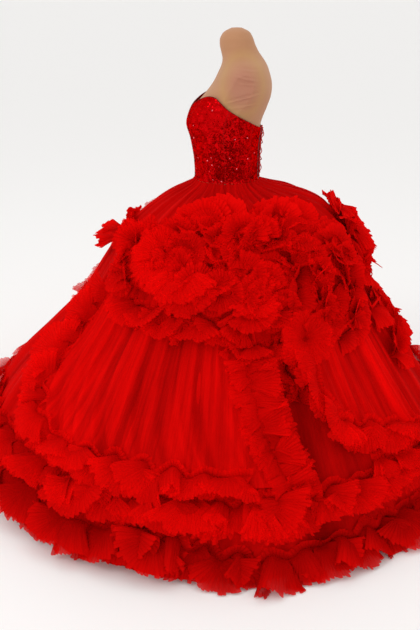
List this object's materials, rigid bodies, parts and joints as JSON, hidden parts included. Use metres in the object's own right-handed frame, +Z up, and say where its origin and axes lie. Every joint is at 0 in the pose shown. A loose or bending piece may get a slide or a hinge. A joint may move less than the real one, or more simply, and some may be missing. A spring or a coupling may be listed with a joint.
{
  "type": "ball gown on dress form",
  "caption": "Floor-length strapless red ball gown with sequinned bodice and wide ruffled tulle skirt, standing on a limbless dress form.",
  "frame": {"origin": "centre of the underside of the stand's foot, on the floor under the dress form", "axes": "+Z up, the front of the gown faces -Y, the wearer's left is +X"},
  "size_m": [2.1358, 2.0684, 1.588],
  "materials": {
    "red_tulle": "matte sheer net",
    "red_sequins": "glossy sequins on net",
    "red_cord": "satin",
    "form_cover": "matte stretch cover",
    "stand_metal": "satin"
  },
  "bodies": {
    "root": {"back_petal_ruffle_left": "red_tulle", "back_petal_ruffle_right": "red_tulle", "back_tier_1": "red_tulle", "back_tier_2": "red_tulle", "back_tier_3": "red_tulle", "back_tier_4": "red_tulle", "back_tier_5": "red_tulle", "bodice_back_panel_left": "red_sequins", "bodice_back_panel_right": "red_sequins", "bodice_centre_front": "red_sequins", "bodice_cup_panel_left": "red_sequins", "bodice_cup_panel_right": "red_sequins", "bodice_side_panel_left": "red_sequins", "bodice_side_panel_right": "red_sequins", "form_body": "form_cover", "front_swag_ruffle": "red_tulle", "hem_ruffle_lower_back": "red_tulle", "hem_ruffle_lower_front": "red_tulle", "hem_ruffle_lower_left": "red_tulle", "hem_ruffle_lower_right": "red_tulle", "hem_ruffle_upper_back": "red_tulle", "hem_ruffle_upper_front": "red_tulle", "hem_ruffle_upper_left": "red_tulle", "hem_ruffle_upper_right": "red_tulle", "hip_arch_left": "red_tulle", "hip_arch_right": "red_tulle", "hip_back_curl_left": "red_tulle", "hip_back_curl_right": "red_tulle", "hip_front_curl_left": "red_tulle", "hip_front_curl_right": "red_tulle", "hip_hanging_row_left": "red_tulle", "hip_hanging_row_right": "red_tulle", "hip_inner_arc_left": "red_tulle", "hip_inner_arc_right": "red_tulle", "hip_middle_arc_left": "red_tulle", "hip_middle_arc_right": "red_tulle", "hip_outer_arc_left": "red_tulle", "hip_outer_arc_right": "red_tulle", "hip_rosette_left": "red_tulle", "hip_rosette_right": "red_tulle", "lace_over": "red_cord", "lace_under": "red_cord", "lacing_loops_left": "red_cord", "lacing_loops_right": "red_cord", "overskirt_back_petal_left": "red_tulle", "overskirt_back_petal_right": "red_tulle", "overskirt_side_petal_left": "red_tulle", "overskirt_side_petal_right": "red_tulle", "side_cascade_left": "red_tulle", "side_cascade_right": "red_tulle", "side_petal_ruffle_left": "red_tulle", "side_petal_ruffle_right": "red_tulle", "skirt_back_gore": "red_tulle", "skirt_front_gore": "red_tulle", "skirt_side_back_gore_left": "red_tulle", "skirt_side_back_gore_right": "red_tulle", "skirt_side_front_gore_left": "red_tulle", "skirt_side_front_gore_right": "red_tulle", "stand_foot": "stand_metal", "stand_pole": "stand_metal"}
  },
  "joints": []
}
